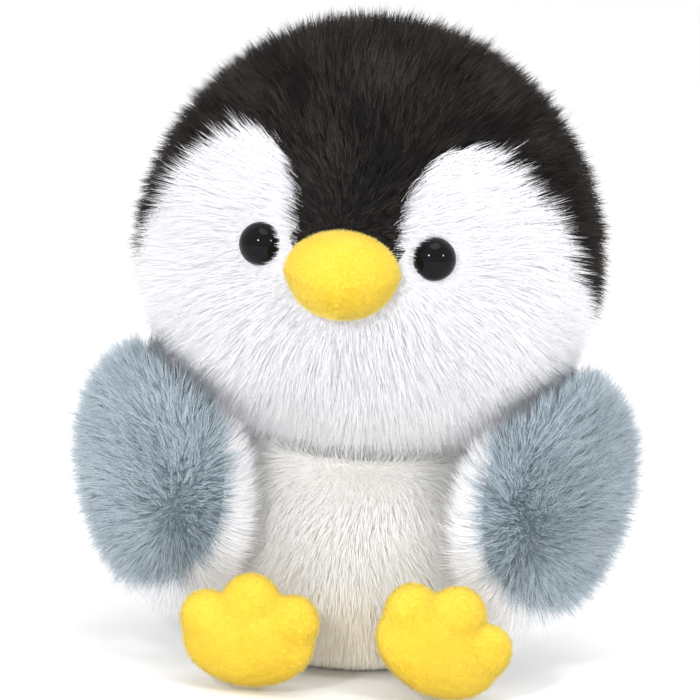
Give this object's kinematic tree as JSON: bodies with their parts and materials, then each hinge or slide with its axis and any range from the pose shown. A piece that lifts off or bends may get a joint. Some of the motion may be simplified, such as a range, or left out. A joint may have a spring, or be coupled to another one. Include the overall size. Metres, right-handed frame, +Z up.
{
  "type": "plush penguin",
  "caption": "Sitting plush penguin toy with a large stuffed head, two hanging wings, an oval beak and two upright feet.",
  "frame": {"origin": "centre of the flat seat panel, on the surface that the toy sits on", "axes": "+Z up, the toy faces -Y, its left side is +X"},
  "size_m": [0.1678, 0.1436, 0.193],
  "materials": {
    "white_pile": "long soft white faux fur",
    "cream_pile": "medium warm white faux fur",
    "black_pile": "long soft warm black faux fur",
    "grey_pile": "long soft blue grey faux fur",
    "yellow_pile": "short brushed yellow pile",
    "inner_cloth": "plain woven lining",
    "filling": "loose polyester fibre filling",
    "pellet_plastic": "small smooth beads",
    "eye_plastic": "polished black",
    "washer_plastic": "natural moulded plastic"
  },
  "bodies": {
    "torso": {"body_belly_panel": "cream_pile", "body_back_panel": "grey_pile", "body_base_panel": "cream_pile", "body_stuffing": "filling", "pellet_pouch": "inner_cloth", "pellets": "pellet_plastic", "shoulder_tab_left": "grey_pile", "shoulder_tab_right": "grey_pile", "leg_left_cover": "cream_pile", "leg_left_stuffing": "filling", "leg_right_cover": "cream_pile", "leg_right_stuffing": "filling"},
    "neck": {"neck_pad": "white_pile"},
    "head": {"crown_gusset": "black_pile", "head_back_left_panel": "black_pile", "head_back_right_panel": "black_pile", "face_left_panel": "white_pile", "face_right_panel": "white_pile", "head_stuffing": "filling", "eye_left": "eye_plastic", "eye_right": "eye_plastic", "eye_washer_left": "washer_plastic", "eye_washer_right": "washer_plastic", "beak_cover": "yellow_pile", "beak_stuffing": "filling"},
    "wing_left": {"wing_left_outer_panel": "grey_pile", "wing_left_inner_panel": "white_pile", "wing_left_stuffing": "filling"},
    "wing_right": {"wing_right_outer_panel": "grey_pile", "wing_right_inner_panel": "white_pile", "wing_right_stuffing": "filling"},
    "foot_left": {"foot_left_top_panel": "yellow_pile", "foot_left_sole_panel": "yellow_pile", "foot_left_stuffing": "filling"},
    "foot_right": {"foot_right_top_panel": "yellow_pile", "foot_right_sole_panel": "yellow_pile", "foot_right_stuffing": "filling"}
  },
  "joints": [
    {"name": "head_turn", "type": "hinge", "parent": "torso", "child": "neck", "pos_m": [0, 0, 0.06], "axis": [0, 0, 1], "range_deg": [-20, 20], "stiffness_Nm_per_rad": 0.2},
    {"name": "head_nod", "type": "hinge", "parent": "neck", "child": "head", "pos_m": [0, 0, 0.066], "axis": [0.9925, -0.1219, 0], "range_deg": [-8, 4], "stiffness_Nm_per_rad": 0.6},
    {"name": "wing_left_flap", "type": "hinge", "parent": "torso", "child": "wing_left", "pos_m": [0.056, -0.018, 0.092], "axis": [-0.6428, -0.766, 0], "range_deg": [0, 25]},
    {"name": "wing_right_flap", "type": "hinge", "parent": "torso", "child": "wing_right", "pos_m": [-0.056, -0.018, 0.092], "axis": [-0.6428, 0.766, 0], "range_deg": [0, 25]},
    {"name": "foot_left_flex", "type": "hinge", "parent": "torso", "child": "foot_left", "pos_m": [0.0275, -0.055, 0.0084], "axis": [0.9903, 0.1392, 0], "range_deg": [0, 70], "stiffness_Nm_per_rad": 0.02},
    {"name": "foot_right_flex", "type": "hinge", "parent": "torso", "child": "foot_right", "pos_m": [-0.0275, -0.055, 0.0084], "axis": [0.9903, -0.1392, 0], "range_deg": [0, 70], "stiffness_Nm_per_rad": 0.02}
  ]
}
